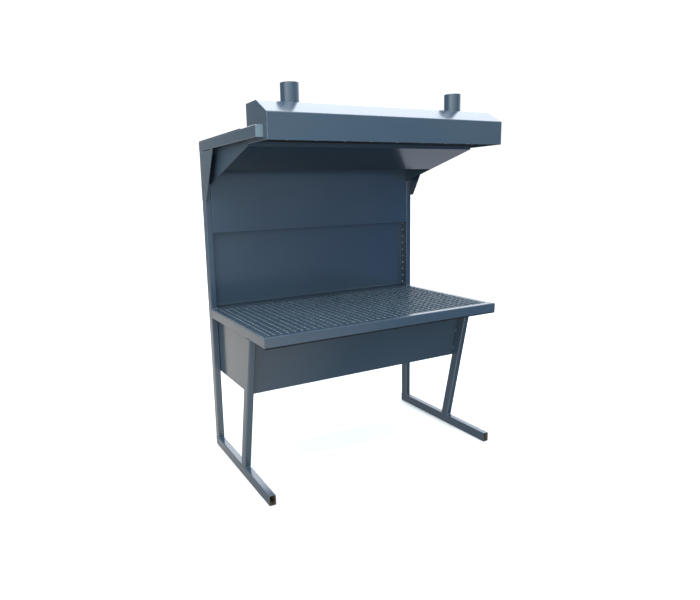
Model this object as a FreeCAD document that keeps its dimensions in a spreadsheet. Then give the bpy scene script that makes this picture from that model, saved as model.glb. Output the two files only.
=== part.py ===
import FreeCAD, Part
import math
import os
from types import SimpleNamespace

import Sketcher

# Downdraft table: two welded side frames carry a grating over a suction hopper,
# a back wall with a suction slot, and a hood with two duct spigots.
# X runs along the table, Y to the back and Z up; the origin is on the floor under the middle.
# Places named "from the back" are measured forward from the rear face of the uprights.

DRIVING_SIZES = (
    ("overall_width", 1600, "outside of one side frame to outside of the other"),
    ("overall_depth", 982, "rear of the uprights to the front of the hood"),
    ("tube_width", 40, "side frame tube, along X"),
    ("tube_depth", 60, "side frame tube, its deep side"),
    ("tube_wall", 3, "wall of every frame tube"),
    ("tube_corner", 5, "outside corner radius of every frame tube"),
    ("foot_length", 910, "length of a foot rail"),
    ("leg_foot", 543, "front of a leg at its foot, from the back"),
    ("leg_head", 723, "front of a leg under the table, from the back"),
    ("arm_top", 2005, "height of the top of the roof arms"),
    ("arm_length", 936, "length of a roof arm with its end plate"),
    ("gusset_depth", 206, "gusset under an arm, along the arm"),
    ("gusset_height", 318, "gusset under an arm, along the upright"),
    ("gusset_thickness", 4, "gusset plate"),
    ("table_height", 950, "height of the table's top face"),
    ("table_front", 936, "front edge of the table, from the back"),
    ("rail_height", 60, "table rail, its upright side"),
    ("rail_width", 40, "table rail, its flat side"),
    ("ledge_width", 25, "flat bar that the gratings rest on"),
    ("ledge_thickness", 4, "thickness of that bar"),
    ("tee_width", 40, "flange of the bearer under the seam of the gratings"),
    ("tee_height", 30, "whole height of that bearer"),
    ("tee_thickness", 4, "web of that bearer"),
    ("strip_height", 30, "grating strips, on edge"),
    ("strip_thickness", 4, "grating strips"),
    ("cross_strip_drop", 2, "grating strips along X, below the top of the others"),
    ("column_pitch", 41.4, "grating strips, spacing along X"),
    ("row_pitch", 40, "grating strips, spacing along Y"),
    ("grating_clearance", 3, "gap round each grating"),
    ("sheet", 2, "thickness of all sheet metal"),
    ("hopper_underside", 528, "height of the hopper's lower edge"),
    ("hopper_lap", 30, "width that hopper sheets lie against the side frames"),
    ("deck_lap", 20, "width that the hopper deck reaches over the front sheet"),
    ("outlet_bore", 160, "inside of the hopper's rear outlet"),
    ("outlet_flange", 25, "width of the outlet's fixing ring"),
    ("back_joint", 1470, "height of the joint between the two rear sheets"),
    ("back_flange", 25, "folded side flanges of the back sheets"),
    ("upper_panel_foot", 1440, "lower edge of the upper back panel"),
    ("upper_panel_head", 1860, "upper edge of the upper back panel"),
    ("upper_panel_hem", 15, "folded lower edge of the upper back panel"),
    ("hood_depth", 258, "hood box, front to rear"),
    ("hood_underside", 1929, "height of the hood box's lower edge"),
    ("hood_front_height", 132, "upright front face of the hood box"),
    ("hood_slope_rise", 68, "rise of the hood box's sloped face"),
    ("hood_top_depth", 135, "flat top of the hood box, front to rear"),
    ("hood_slot_height", 40, "opening in the rear of the hood box"),
    ("hood_slot_margin", 60, "sheet left beside that opening"),
    ("lip_foot", 1920, "lower edge of the baffle's front lip"),
    ("lip_height", 40, "height of the baffle's front lip"),
    ("cheek_tip", 1740, "lowest point of the hood cheeks"),
    ("cheek_lap", 40, "height that the cheeks lie against the arms"),
    ("suction_slot", 282, "gap between the baffle and the upper back panel"),
    ("spigot_diameter", 100, "outside of the duct spigots"),
    ("spigot_wall", 2, "wall of the duct spigots and of the outlet"),
    ("spigot_height", 103, "height of the duct spigots"),
    ("spigot_spacing", 1086, "middle of one duct spigot to the middle of the other"),
    ("rivet_diameter", 9.5, "head of a blind rivet"),
    ("rivet_crown", 6, "flat on top of a rivet head"),
    ("rivet_height", 1.8, "height of a rivet head"),
    ("rivet_pitch", 50, "spacing of the rivets in the back sheets"),
    ("rivet_inset", 14, "rivets to the rear face of the back sheets"),
    ("rivet_start", 27, "lowest rivets, above the table"),
    ("roof_rivet_pitch", 115, "spacing of the rivets in the roof"),
)

BACK_RIVETS = 10
ROOF_RIVETS = 6
OUTLET_RIVETS = 6
SIDES = (("left", -1), ("right", 1))


class Formula:
    """A size with both its value and the sheet expression that it follows."""

    def __init__(self, text, value):
        self.text = text
        self.value = value

    @staticmethod
    def of(item):
        return item if isinstance(item, Formula) else Formula(repr(item), item)

    def __add__(self, other):
        other = Formula.of(other)
        return Formula(f"({self.text} + {other.text})", self.value + other.value)

    def __sub__(self, other):
        other = Formula.of(other)
        return Formula(f"({self.text} - {other.text})", self.value - other.value)

    def __mul__(self, other):
        other = Formula.of(other)
        return Formula(f"({self.text} * {other.text})", self.value * other.value)

    def __truediv__(self, other):
        other = Formula.of(other)
        return Formula(f"({self.text} / {other.text})", self.value / other.value)

    def __neg__(self):
        return Formula(f"(-1 * {self.text})", -self.value)

    __rmul__ = __mul__


ZERO = Formula("0", 0)

document = FreeCAD.newDocument("DowndraftTable")
sheet_object = document.addObject("Spreadsheet::Sheet", "Sizes")
size = SimpleNamespace()
for row, (alias, number, note) in enumerate(DRIVING_SIZES, start=1):
    sheet_object.set(f"A{row}", alias)
    sheet_object.set(f"B{row}", str(number))
    sheet_object.set(f"C{row}", note)
    sheet_object.setAlias(f"B{row}", alias)
    setattr(size, alias, Formula(f"Sizes.{alias}", number))
document.recompute()

sub_parts = []


# Helpers

def bind(item, prop, formula):
    """Ties one property of a document object to a formula."""
    item.setExpression(prop, Formula.of(formula).text)


def place(item, x=ZERO, y=ZERO, z=ZERO):
    """Ties the place of a document object to three formulas."""
    for axis, formula in zip("xyz", (x, y, z)):
        bind(item, f"Placement.Base.{axis}", formula)


def new_body(name):
    """Starts a sub-part that is built from sketches."""
    body = document.addObject("PartDesign::Body", name)
    body.Label = name
    sub_parts.append(body)
    return body


def origin_feature(body, role):
    """Finds a plane or axis of a body's own origin."""
    return next(item for item in body.Origin.OriginFeatures if item.Role == role)


def new_sketch(body, role, lift=ZERO):
    """Starts a sketch on one of the body's own planes, raised along its normal."""
    sketch = body.newObject("Sketcher::SketchObject", f"{body.Name}_sketch")
    sketch.AttachmentSupport = [(origin_feature(body, role), "")]
    sketch.MapMode = "FlatFace"
    bind(sketch, "AttachmentOffset.Base.z", lift)
    return sketch


def dimension(sketch, kind, formula, *where):
    """Adds one driving dimension to a sketch."""
    formula = Formula.of(formula)
    index = sketch.addConstraint(Sketcher.Constraint(kind, *where, formula.value))
    sketch.setExpression(f"Constraints[{index}]", formula.text)


def draw_polygon(sketch, points):
    """Draws a closed outline whose corners follow (across, up) formulas."""
    first = sketch.GeometryCount
    count = len(points)
    corners = [FreeCAD.Vector(Formula.of(u).value, Formula.of(v).value, 0) for u, v in points]
    for index in range(count):
        sketch.addGeometry(Part.LineSegment(corners[index], corners[(index + 1) % count]), False)
    for index in range(count):
        follower = first + (index + 1) % count
        sketch.addConstraint(Sketcher.Constraint("Coincident", first + index, 2, follower, 1))
    for index, (u, v) in enumerate(points):
        dimension(sketch, "DistanceX", u, -1, 1, first + index, 1)
        dimension(sketch, "DistanceY", v, -1, 1, first + index, 1)


def draw_rectangle(sketch, left, right, low, high):
    """Draws a rectangle between two places across and two places up."""
    draw_polygon(sketch, ((left, low), (right, low), (right, high), (left, high)))


def draw_circle(sketch, across, up, radius):
    """Draws a circle at a place that follows formulas."""
    centre = FreeCAD.Vector(Formula.of(across).value, Formula.of(up).value, 0)
    circle = Part.Circle(centre, FreeCAD.Vector(0, 0, 1), radius.value)
    index = sketch.addGeometry(circle, False)
    dimension(sketch, "Radius", radius, index)
    dimension(sketch, "DistanceX", across, -1, 1, index, 3)
    dimension(sketch, "DistanceY", up, -1, 1, index, 3)


def draw_rounded_rectangle(sketch, width, height, radius):
    """Draws a rectangle with rounded corners about the sketch's origin."""
    first = sketch.GeometryCount
    half_width, half_height, round_off = width.value / 2, height.value / 2, radius.value
    flat_x, flat_y = half_width - round_off, half_height - round_off
    runs = (
        ((-flat_x, -half_height), (flat_x, -half_height)),
        ((half_width, -flat_y), (half_width, flat_y)),
        ((flat_x, half_height), (-flat_x, half_height)),
        ((-half_width, flat_y), (-half_width, -flat_y)),
    )
    centres = ((flat_x, -flat_y), (flat_x, flat_y), (-flat_x, flat_y), (-flat_x, -flat_y))
    quarter = math.pi / 2
    for index, (run, centre) in enumerate(zip(runs, centres)):
        start, end = (FreeCAD.Vector(*corner, 0) for corner in run)
        sketch.addGeometry(Part.LineSegment(start, end), False)
        circle = Part.Circle(FreeCAD.Vector(*centre, 0), FreeCAD.Vector(0, 0, 1), round_off)
        sketch.addGeometry(Part.ArcOfCircle(circle, (index - 1) * quarter, index * quarter), False)
    bottom, right, top, left = (first + 2 * index for index in range(4))
    for line in (bottom, right, top, left):
        arc = line + 1
        follower = first + (line + 2 - first) % 8
        sketch.addConstraint(Sketcher.Constraint("Tangent", line, 2, arc, 1))
        sketch.addConstraint(Sketcher.Constraint("Tangent", arc, 2, follower, 1))
    for line, axis in ((bottom, -2), (top, -2), (right, -1)):
        sketch.addConstraint(Sketcher.Constraint("Symmetric", line, 1, line, 2, axis))
    for line in (right, top, left):
        sketch.addConstraint(Sketcher.Constraint("Equal", bottom + 1, line + 1))
    dimension(sketch, "Radius", radius, bottom + 1)
    dimension(sketch, "DistanceX", width, left, 1, right, 1)
    dimension(sketch, "DistanceY", height, bottom, 1, top, 1)


def add_pad(body, sketch, length):
    """Thickens a sketch along its normal."""
    pad = body.newObject("PartDesign::Pad", f"{body.Name}_pad")
    pad.Profile = sketch
    bind(pad, "Length", length)
    return pad


def tube(name, role, length, x, y, z):
    """Makes a hollow frame tube that starts at a place and runs along a plane's normal."""
    body = new_body(name)
    sketch = new_sketch(body, role)
    draw_rounded_rectangle(sketch, size.tube_width, size.tube_depth, size.tube_corner)
    draw_rounded_rectangle(
        sketch,
        size.tube_width - 2 * size.tube_wall,
        size.tube_depth - 2 * size.tube_wall,
        size.tube_corner - size.tube_wall,
    )
    pad = add_pad(body, sketch, length)
    place(body, x, y, z)
    return pad


def side_profile(name, points, start, length):
    """Extrudes an outline of (Y, Z) corners along X from a start to a length."""
    body = new_body(name)
    sketch = new_sketch(body, "YZ_Plane")
    draw_polygon(sketch, points)
    add_pad(body, sketch, length)
    place(body, x=start)
    return body


def spanning_sheet(name, points, half_width):
    """Extrudes an outline of (Y, Z) corners evenly to both sides of the middle."""
    return side_profile(name, points, -half_width, 2 * half_width)


def side_sheet(name, sign, points):
    """Cuts an upright sheet that lies against the inner face of a side frame."""
    start = -frame_inner if sign < 0 else sheet_inner
    return side_profile(name, points, start, size.sheet)


def plain_box(name, x_range, y_range, z_range):
    """Makes a rectangular block between pairs of places."""
    block = document.addObject("Part::Box", name)
    for prop, (low, high) in zip(("Length", "Width", "Height"), (x_range, y_range, z_range)):
        bind(block, prop, Formula.of(high) - low)
    place(block, x_range[0], y_range[0], z_range[0])
    return block


def box_part(name, x_range, y_range, z_range):
    """Makes a sub-part that is one rectangular block."""
    block = plain_box(name, x_range, y_range, z_range)
    block.Label = name
    sub_parts.append(block)


def group(name, members):
    """Collects several objects in one."""
    collected = document.addObject("Part::Compound", name)
    collected.Links = members
    return collected


def rivet_group(name, spots):
    """Groups rivet heads that stand at (x, y, z) places and point along a direction."""
    heads = []
    for (x, y, z), direction in spots:
        head = document.addObject("Part::Cone", f"{name}_head")
        bind(head, "Radius1", size.rivet_diameter / 2)
        bind(head, "Radius2", size.rivet_crown / 2)
        bind(head, "Height", size.rivet_height)
        head.Placement.Rotation = FreeCAD.Rotation(FreeCAD.Vector(0, 0, 1), FreeCAD.Vector(*direction))
        place(head, x, y, z)
        heads.append(head)
    rivets = group(name, heads)
    rivets.Label = name
    sub_parts.append(rivets)


# Places that several sub-parts share

half_width = size.overall_width / 2
rear = size.overall_depth / 2
frame_inner = half_width - size.tube_width
frame_middle = half_width - size.tube_width / 2
sheet_inner = frame_inner - size.sheet
upright_front = rear - size.tube_depth
foot_top = size.tube_depth
arm_underside = size.arm_top - size.tube_depth

rail_underside = size.table_height - size.rail_height
rail_inner = half_width - size.rail_width
table_front = rear - size.table_front
opening_front = table_front + size.rail_width
opening_back = upright_front - size.rail_width
ledge_top = size.table_height - size.strip_height
ledge_underside = ledge_top - size.ledge_thickness

leg_rise = rail_underside - foot_top
leg_lean = (size.leg_head - size.leg_foot) / leg_rise
deck_underside = rail_underside - size.sheet

hood_front = rear - size.overall_depth
hood_rear = hood_front + size.hood_depth
hood_top = size.hood_underside + size.hood_front_height + size.hood_slope_rise
hood_ridge = hood_rear - size.hood_top_depth
hood_brow = size.hood_underside + size.hood_front_height
lip_head = size.lip_foot + size.lip_height
baffle_slope = (size.lip_foot - size.cheek_tip) / (upright_front - hood_rear)


def leg_back(height):
    """Gives the place of the legs' rear faces at a height."""
    return rear - (size.leg_foot - size.tube_depth) - leg_lean * (height - foot_top)


def baffle_under(place_y):
    """Gives the height of the baffle's lower face at a place."""
    return size.lip_foot - baffle_slope * (place_y - hood_rear)


# Side frames

for side, sign in SIDES:
    middle = sign * frame_middle
    tube(f"foot_rail_{side}", "XZ_Plane", size.foot_length, middle, rear, size.tube_depth / 2)
    tube(f"upright_{side}", "XY_Plane", arm_underside - foot_top, middle, rear - size.tube_depth / 2, foot_top)
    arm_middle = size.arm_top - size.tube_depth / 2
    open_length = size.arm_length - size.sheet
    tube(f"roof_arm_{side}", "XZ_Plane", open_length, middle, rear, arm_middle)
    cap = new_body(f"arm_cap_{side}")
    cap_outline = new_sketch(cap, "XZ_Plane")
    draw_rounded_rectangle(cap_outline, size.tube_width, size.tube_depth, size.tube_corner)
    add_pad(cap, cap_outline, size.sheet)
    place(cap, middle, rear - open_length, arm_middle)
    leg = tube(
        f"front_leg_{side}", "XY_Plane", leg_rise, middle, leg_back(foot_top) - size.tube_depth / 2, foot_top
    )
    leg.UseCustomVector = True
    leg.AlongSketchNormal = True
    bind(leg, "Direction.x", ZERO)
    bind(leg, "Direction.y", -leg_lean)
    bind(leg, "Direction.z", 1)
    gusset_outline = (
        (upright_front, arm_underside),
        (upright_front - size.gusset_depth, arm_underside),
        (upright_front, arm_underside - size.gusset_height),
    )
    gusset_start = -half_width if sign < 0 else half_width - size.gusset_thickness
    side_profile(f"arm_gusset_{side}", gusset_outline, gusset_start, size.gusset_thickness)

# Table rails with mitred corners


def rail_outline(edge, outer, inner):
    """Gives the plan of one mitred rail between two insets from the table's edge."""
    corners = []
    for inset, order in ((outer, (0, 1)), (inner, (1, 0))):
        across = (-half_width + inset, half_width - inset)
        along = (table_front + inset, upright_front - inset)
        for end in order:
            if edge in ("left", "right"):
                corners.append((across[0] if edge == "left" else across[1], along[end]))
            else:
                corners.append((across[end], along[0] if edge == "front" else along[1]))
    return corners


for edge in ("front", "rear", "left", "right"):
    rail = new_body(f"table_rail_{edge}")
    plan = new_sketch(rail, "XY_Plane")
    draw_polygon(plan, rail_outline(edge, ZERO, size.rail_width))
    add_pad(rail, plan, size.rail_height)
    hollow = new_sketch(rail, "XY_Plane", size.tube_wall)
    draw_polygon(hollow, rail_outline(edge, size.tube_wall, size.rail_width - size.tube_wall))
    bore = rail.newObject("PartDesign::Pocket", f"{rail.Name}_bore")
    bore.Profile = hollow
    bore.Reversed = True
    bind(bore, "Length", size.rail_height - 2 * size.tube_wall)
    place(rail, z=rail_underside)

# Ledges and bearer under the gratings

ledge_heights = (ledge_underside, ledge_top)
ledge_front = opening_front + size.ledge_width
ledge_back = opening_back - size.ledge_width
box_part("grating_ledge_front", (-rail_inner, rail_inner), (opening_front, ledge_front), ledge_heights)
box_part("grating_ledge_rear", (-rail_inner, rail_inner), (ledge_back, opening_back), ledge_heights)
for side, sign in SIDES:
    outer, inner = sign * rail_inner, sign * (rail_inner - size.ledge_width)
    x_range = (outer, inner) if sign < 0 else (inner, outer)
    box_part(f"grating_ledge_{side}", x_range, (ledge_front, ledge_back), ledge_heights)

tee_flange = plain_box(
    "tee_flange", (-size.tee_width / 2, size.tee_width / 2), (ledge_front, ledge_back), ledge_heights
)
tee_web = plain_box(
    "tee_web",
    (-size.tee_thickness / 2, size.tee_thickness / 2),
    (opening_front, opening_back),
    (ledge_top - size.tee_height, ledge_underside),
)
bearer = document.addObject("Part::Fuse", "grating_bearer")
bearer.Label = "grating_bearer"
bearer.Base = tee_flange
bearer.Tool = tee_web
sub_parts.append(bearer)

# Lift-out gratings of crossed strips

grating_front = opening_front + size.grating_clearance
grating_back = opening_back - size.grating_clearance
grating_end = rail_inner - size.grating_clearance
grating_seam = size.grating_clearance / 2
half_strip = size.strip_thickness / 2
column_heights = (ledge_top, size.table_height)
row_heights = (ledge_top, size.table_height - size.cross_strip_drop)
column_room = grating_end - half_strip - size.column_pitch / 2
column_count = math.floor(column_room.value / size.column_pitch.value) + 1
row_room = grating_back - grating_front - size.strip_thickness
row_count = math.floor(row_room.value / size.row_pitch.value) + 1
opening_middle = (opening_front + opening_back) / 2

columns = []
for index in range(column_count):
    middle = (index + 0.5) * size.column_pitch
    x_range = (middle - half_strip, middle + half_strip)
    columns.append(plain_box("column_strip", x_range, (grating_front, grating_back), column_heights))
rows = []
for index in range(row_count):
    middle = opening_middle + (index - (row_count - 1) / 2) * size.row_pitch
    y_range = (middle - half_strip, middle + half_strip)
    rows.append(plain_box("row_strip", (grating_seam, grating_end), y_range, row_heights))
grating_right = document.addObject("Part::Fuse", "grating_right")
grating_right.Label = "grating_right"
grating_right.Base = group("column_strips", columns)
grating_right.Tool = group("row_strips", rows)
grating_right.Refine = False
grating_left = document.addObject("Part::Mirroring", "grating_left")
grating_left.Label = "grating_left"
grating_left.Source = grating_right
grating_left.Normal = FreeCAD.Vector(1, 0, 0)
sub_parts += [grating_left, grating_right]

# Hopper under the table

hopper_back = upright_front - size.sheet
hopper_floor = size.hopper_underside + size.sheet
outlet_height = (size.hopper_underside + rail_underside) / 2
hopper_side_outline = (
    (rear - size.hopper_lap, size.hopper_underside),
    (rear - size.hopper_lap, rail_underside),
    (opening_back, rail_underside),
    (opening_back, ledge_underside),
    (opening_front, ledge_underside),
    (opening_front, deck_underside),
    (leg_back(deck_underside) + size.sheet, deck_underside),
    (leg_back(size.hopper_underside) + size.sheet, size.hopper_underside),
)
for side, sign in SIDES:
    side_sheet(f"hopper_side_{side}", sign, hopper_side_outline)

hopper_front_outline = (
    (leg_back(size.hopper_underside), size.hopper_underside),
    (leg_back(size.hopper_underside) + size.sheet, size.hopper_underside),
    (leg_back(deck_underside) + size.sheet, deck_underside),
    (leg_back(deck_underside), deck_underside),
)
spanning_sheet("hopper_front", hopper_front_outline, frame_inner + size.hopper_lap)

box_part(
    "hopper_floor",
    (-sheet_inner, sheet_inner),
    (leg_back(size.hopper_underside) + size.sheet, hopper_back),
    (size.hopper_underside, hopper_floor),
)
box_part(
    "hopper_deck",
    (-sheet_inner, sheet_inner),
    (table_front + size.tube_wall, leg_back(deck_underside) + size.deck_lap),
    (deck_underside, rail_underside),
)

hopper_rear = new_body("hopper_rear")
rear_plan = new_sketch(hopper_rear, "XZ_Plane")
draw_rectangle(rear_plan, -sheet_inner, sheet_inner, size.hopper_underside, rail_underside)
draw_circle(rear_plan, ZERO, outlet_height, size.outlet_bore / 2)
add_pad(hopper_rear, rear_plan, size.sheet)
place(hopper_rear, y=upright_front)

outlet = new_body("hopper_outlet")
outlet_radius = size.outlet_bore / 2
for outer_radius, length in (
    (outlet_radius + size.spigot_wall + size.outlet_flange, size.spigot_wall),
    (outlet_radius + size.spigot_wall, size.tube_depth),
):
    ring = new_sketch(outlet, "XZ_Plane")
    draw_circle(ring, ZERO, ZERO, outer_radius)
    draw_circle(ring, ZERO, ZERO, outlet_radius)
    ring_pad = add_pad(outlet, ring, length)
    ring_pad.Reversed = True
place(outlet, y=upright_front, z=outlet_height)

# Back wall


def folded_back(name, face, fold, foot, head):
    """Makes an upright sheet between the uprights with its two side flanges."""
    body = new_body(name)
    sketch = new_sketch(body, "XY_Plane")
    inside = face - size.sheet if fold.value < face.value else face + size.sheet
    draw_polygon(
        sketch,
        (
            (-frame_inner, face),
            (frame_inner, face),
            (frame_inner, fold),
            (sheet_inner, fold),
            (sheet_inner, inside),
            (-sheet_inner, inside),
            (-sheet_inner, fold),
            (-frame_inner, fold),
        ),
    )
    add_pad(body, sketch, head - foot)
    place(body, z=foot)
    return body


sill_top = size.table_height + size.sheet
box_part("back_sill", (-frame_inner, frame_inner), (opening_back, rear), (size.table_height, sill_top))
folded_back("lower_back_panel", rear, rear - size.back_flange, sill_top, size.back_joint)
folded_back("rear_cover_panel", rear, rear - size.back_flange, size.back_joint, size.arm_top)
upper_fold = upright_front + size.back_flange
upper_back = folded_back(
    "upper_back_panel", upright_front, upper_fold, size.upper_panel_foot, size.upper_panel_head
)
hem = new_sketch(upper_back, "XY_Plane")
draw_rectangle(hem, -sheet_inner, sheet_inner, upright_front + size.sheet, upright_front + size.upper_panel_hem)
add_pad(upper_back, hem, size.sheet)

# Hood cheeks, baffle and roof

cheek_outline = (
    (upright_front, size.cheek_tip),
    (hood_rear, size.lip_foot),
    (hood_rear, arm_underside + size.cheek_lap),
    (upright_front, arm_underside + size.cheek_lap),
)
for side, sign in SIDES:
    side_sheet(f"hood_cheek_{side}", sign, cheek_outline)

lip_back = hood_rear + size.sheet
baffle_back = upright_front - size.suction_slot
baffle_outline = (
    (hood_rear, size.lip_foot),
    (hood_rear, lip_head),
    (lip_back, lip_head),
    (lip_back, baffle_under(lip_back) + size.sheet),
    (baffle_back, baffle_under(baffle_back) + size.sheet),
    (baffle_back, baffle_under(baffle_back)),
)
spanning_sheet("hood_baffle", baffle_outline, sheet_inner)
box_part("hood_roof", (-half_width, half_width), (hood_rear, rear), (size.arm_top, size.arm_top + size.sheet))

# Hood box

hood_end_outline = (
    (hood_rear, size.hood_underside),
    (hood_front, size.hood_underside),
    (hood_front, hood_brow),
    (hood_ridge, hood_top),
    (hood_rear, hood_top),
)
for side, sign in SIDES:
    side_sheet(f"hood_end_{side}", sign, hood_end_outline)

front_inside = hood_front + size.sheet
brow_fall = size.hood_slope_rise / (hood_ridge - hood_front) * size.sheet
hood_shell_outline = (
    (hood_front, size.hood_underside),
    (hood_front, hood_brow),
    (hood_ridge, hood_top),
    (hood_rear, hood_top),
    (hood_rear, hood_top - size.sheet),
    (hood_ridge, hood_top - size.sheet),
    (front_inside, hood_brow + brow_fall - size.sheet),
    (front_inside, size.hood_underside),
)
hood_shell = spanning_sheet("hood_shell", hood_shell_outline, sheet_inner)
spigot_x = size.spigot_spacing / 2
spigot_y = (hood_rear + hood_ridge) / 2
spigot_radius = size.spigot_diameter / 2
spigot_bore = spigot_radius - size.spigot_wall
duct_holes = new_sketch(hood_shell, "XY_Plane", hood_top)
for sign in (-1, 1):
    draw_circle(duct_holes, sheet_inner + sign * spigot_x, spigot_y, spigot_bore)
duct_cut = hood_shell.newObject("PartDesign::Pocket", "duct_cut")
duct_cut.Profile = duct_holes
bind(duct_cut, "Length", size.sheet)

hood_inside = hood_rear - size.sheet
box_part(
    "hood_bottom",
    (-sheet_inner, sheet_inner),
    (front_inside, hood_inside),
    (size.hood_underside, size.hood_underside + size.sheet),
)
hood_back = new_body("hood_rear_panel")
hood_back_plan = new_sketch(hood_back, "XZ_Plane")
slot_half = sheet_inner - size.hood_slot_margin
draw_rectangle(hood_back_plan, -sheet_inner, sheet_inner, size.hood_underside, hood_top - size.sheet)
draw_rectangle(hood_back_plan, -slot_half, slot_half, lip_head, lip_head + size.hood_slot_height)
add_pad(hood_back, hood_back_plan, size.sheet)
place(hood_back, y=hood_rear)

for side, sign in SIDES:
    spigot = new_body(f"duct_spigot_{side}")
    ring = new_sketch(spigot, "XY_Plane")
    draw_circle(ring, ZERO, ZERO, spigot_radius)
    draw_circle(ring, ZERO, ZERO, spigot_bore)
    add_pad(spigot, ring, size.spigot_height)
    place(spigot, sign * spigot_x, spigot_y, hood_top)

# Blind rivets

back_spots = []
roof_spots = []
for side, sign in SIDES:
    for index in range(BACK_RIVETS):
        height = size.table_height + size.rivet_start + index * size.rivet_pitch
        back_spots.append(((sign * sheet_inner, rear - size.rivet_inset, height), (-sign, 0, 0)))
    for index in range(ROOF_RIVETS):
        along = rear - size.tube_depth / 2 - index * size.roof_rivet_pitch
        roof_spots.append(((sign * frame_middle, along, size.arm_top + size.sheet), (0, 0, 1)))
rivet_group("back_panel_rivets", back_spots)
rivet_group("roof_rivets", roof_spots)

outlet_spots = []
ring_radius = outlet_radius + size.spigot_wall + size.outlet_flange / 2
ring_face = upright_front + size.spigot_wall
for index in range(OUTLET_RIVETS):
    turn = 2 * math.pi * index / OUTLET_RIVETS
    across = math.cos(turn) * ring_radius
    height = outlet_height + math.sin(turn) * ring_radius
    outlet_spots.append(((across, ring_face, height), (0, 1, 0)))
rivet_group("outlet_rivets", outlet_spots)

# Build, test and write each sub-part

document.recompute()
for item in document.Objects:
    if {"Invalid", "Error"} & set(item.State):
        raise RuntimeError(f"{item.Label} did not build: {item.State}")
for item in sub_parts:
    if item.Shape.isNull() or not item.Shape.isValid():
        raise RuntimeError(f"{item.Label} has no valid shape")
os.makedirs("parts", exist_ok=True)
for item in sub_parts:
    item.Shape.exportStep(f"parts/{item.Label}.step")
    print(f"{item.Label}: {len(item.Shape.Solids)} solid, {item.Shape.Volume / 1000:.1f} cm3")
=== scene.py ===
"""Looks of the downdraft table: enamel, bent sheets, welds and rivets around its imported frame."""
import logging
import math
from collections.abc import Callable, Iterable, Sequence
from dataclasses import dataclass
from enum import Enum

import bmesh
import bpy
from mathutils import Matrix, Vector


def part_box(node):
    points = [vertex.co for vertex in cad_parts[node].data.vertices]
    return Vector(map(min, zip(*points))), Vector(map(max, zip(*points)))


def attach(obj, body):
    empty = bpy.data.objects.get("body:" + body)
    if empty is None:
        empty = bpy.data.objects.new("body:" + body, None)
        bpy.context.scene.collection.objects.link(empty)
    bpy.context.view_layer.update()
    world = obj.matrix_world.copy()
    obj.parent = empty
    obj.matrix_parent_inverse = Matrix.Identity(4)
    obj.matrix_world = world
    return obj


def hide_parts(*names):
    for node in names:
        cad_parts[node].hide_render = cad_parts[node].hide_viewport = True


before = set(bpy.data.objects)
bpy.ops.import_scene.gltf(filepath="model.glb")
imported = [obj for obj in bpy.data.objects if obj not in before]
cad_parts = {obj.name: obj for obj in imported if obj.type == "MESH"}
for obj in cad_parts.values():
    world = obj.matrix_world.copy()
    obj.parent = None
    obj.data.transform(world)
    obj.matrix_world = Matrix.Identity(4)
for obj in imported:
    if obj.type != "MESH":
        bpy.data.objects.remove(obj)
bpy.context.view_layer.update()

log = logging.getLogger("downdraft_table")

Colour = tuple[float, float, float, float]
Finish = bpy.types.Material
Piece = bpy.types.Object
Range = tuple[float, float]

NEAR = 1e-5
DIGITS = 5
UPWARD = 0.99
SIDES = {"left": -1, "right": 1}
EDGES = ("front", "rear", "left", "right")
TUBE_RIPPLE = 0.0001


class Slot(Enum):
    """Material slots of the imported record."""

    FRAME = "frame_paint"
    SHEET = "sheet_paint"
    GRATING = "grating_paint"
    DUCT = "duct_paint"
    RIVET = "rivet_metal"


class Element(Enum):
    """Kinds of mesh element that can be selected."""

    CORNER = "VERT"
    EDGE = "EDGE"
    FACE = "FACE"


class Axis(Enum):
    """Directions of the row frame."""

    X = 0
    Y = 1
    Z = 2

    @property
    def vector(self) -> Vector:
        """The unit vector along this axis."""
        return Vector(1.0 if index == self.value else 0.0 for index in range(3))


# Shader maths


class Wire:
    """One shader socket that takes part in Python arithmetic."""

    def __init__(self, board: "Board", socket: bpy.types.NodeSocket) -> None:
        """Keeps the socket and the board that it is on."""
        self.board = board
        self.socket = socket

    def __add__(self, other: "Wire | float") -> "Wire":
        """Adds two values."""
        return self.board.math("ADD", self, other)

    def __sub__(self, other: "Wire | float") -> "Wire":
        """Takes a value from this one."""
        return self.board.math("SUBTRACT", self, other)

    def __rsub__(self, other: float) -> "Wire":
        """Takes this value from a number."""
        return self.board.math("SUBTRACT", other, self)

    def __mul__(self, other: "Wire | float") -> "Wire":
        """Multiplies two values."""
        return self.board.math("MULTIPLY", self, other)

    def __truediv__(self, other: "Wire | float") -> "Wire":
        """Divides this value by another."""
        return self.board.math("DIVIDE", self, other)

    def __rtruediv__(self, other: float) -> "Wire":
        """Divides a number by this value."""
        return self.board.math("DIVIDE", other, self)

    def __abs__(self) -> "Wire":
        """The size of this value without its sign."""
        return self.board.math("ABSOLUTE", self)

    def __lt__(self, other: "Wire | float") -> "Wire":
        """One where this value is the smaller, and zero elsewhere."""
        return self.board.math("LESS_THAN", self, other)

    def __gt__(self, other: "Wire | float") -> "Wire":
        """One where this value is the larger, and zero elsewhere."""
        return self.board.math("GREATER_THAN", self, other)

    __radd__ = __add__
    __rmul__ = __mul__

    def between(self, low: float, high: float) -> "Wire":
        """Fades from zero at one value to one at another.

        Args:
            low: Value that gives zero.
            high: Value that gives one.

        Returns:
            The faded value.
        """
        settings = {"interpolation_type": "SMOOTHSTEP"}
        return self.board.node("ShaderNodeMapRange", settings, {0: self, 1: low, 2: high})


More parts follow.
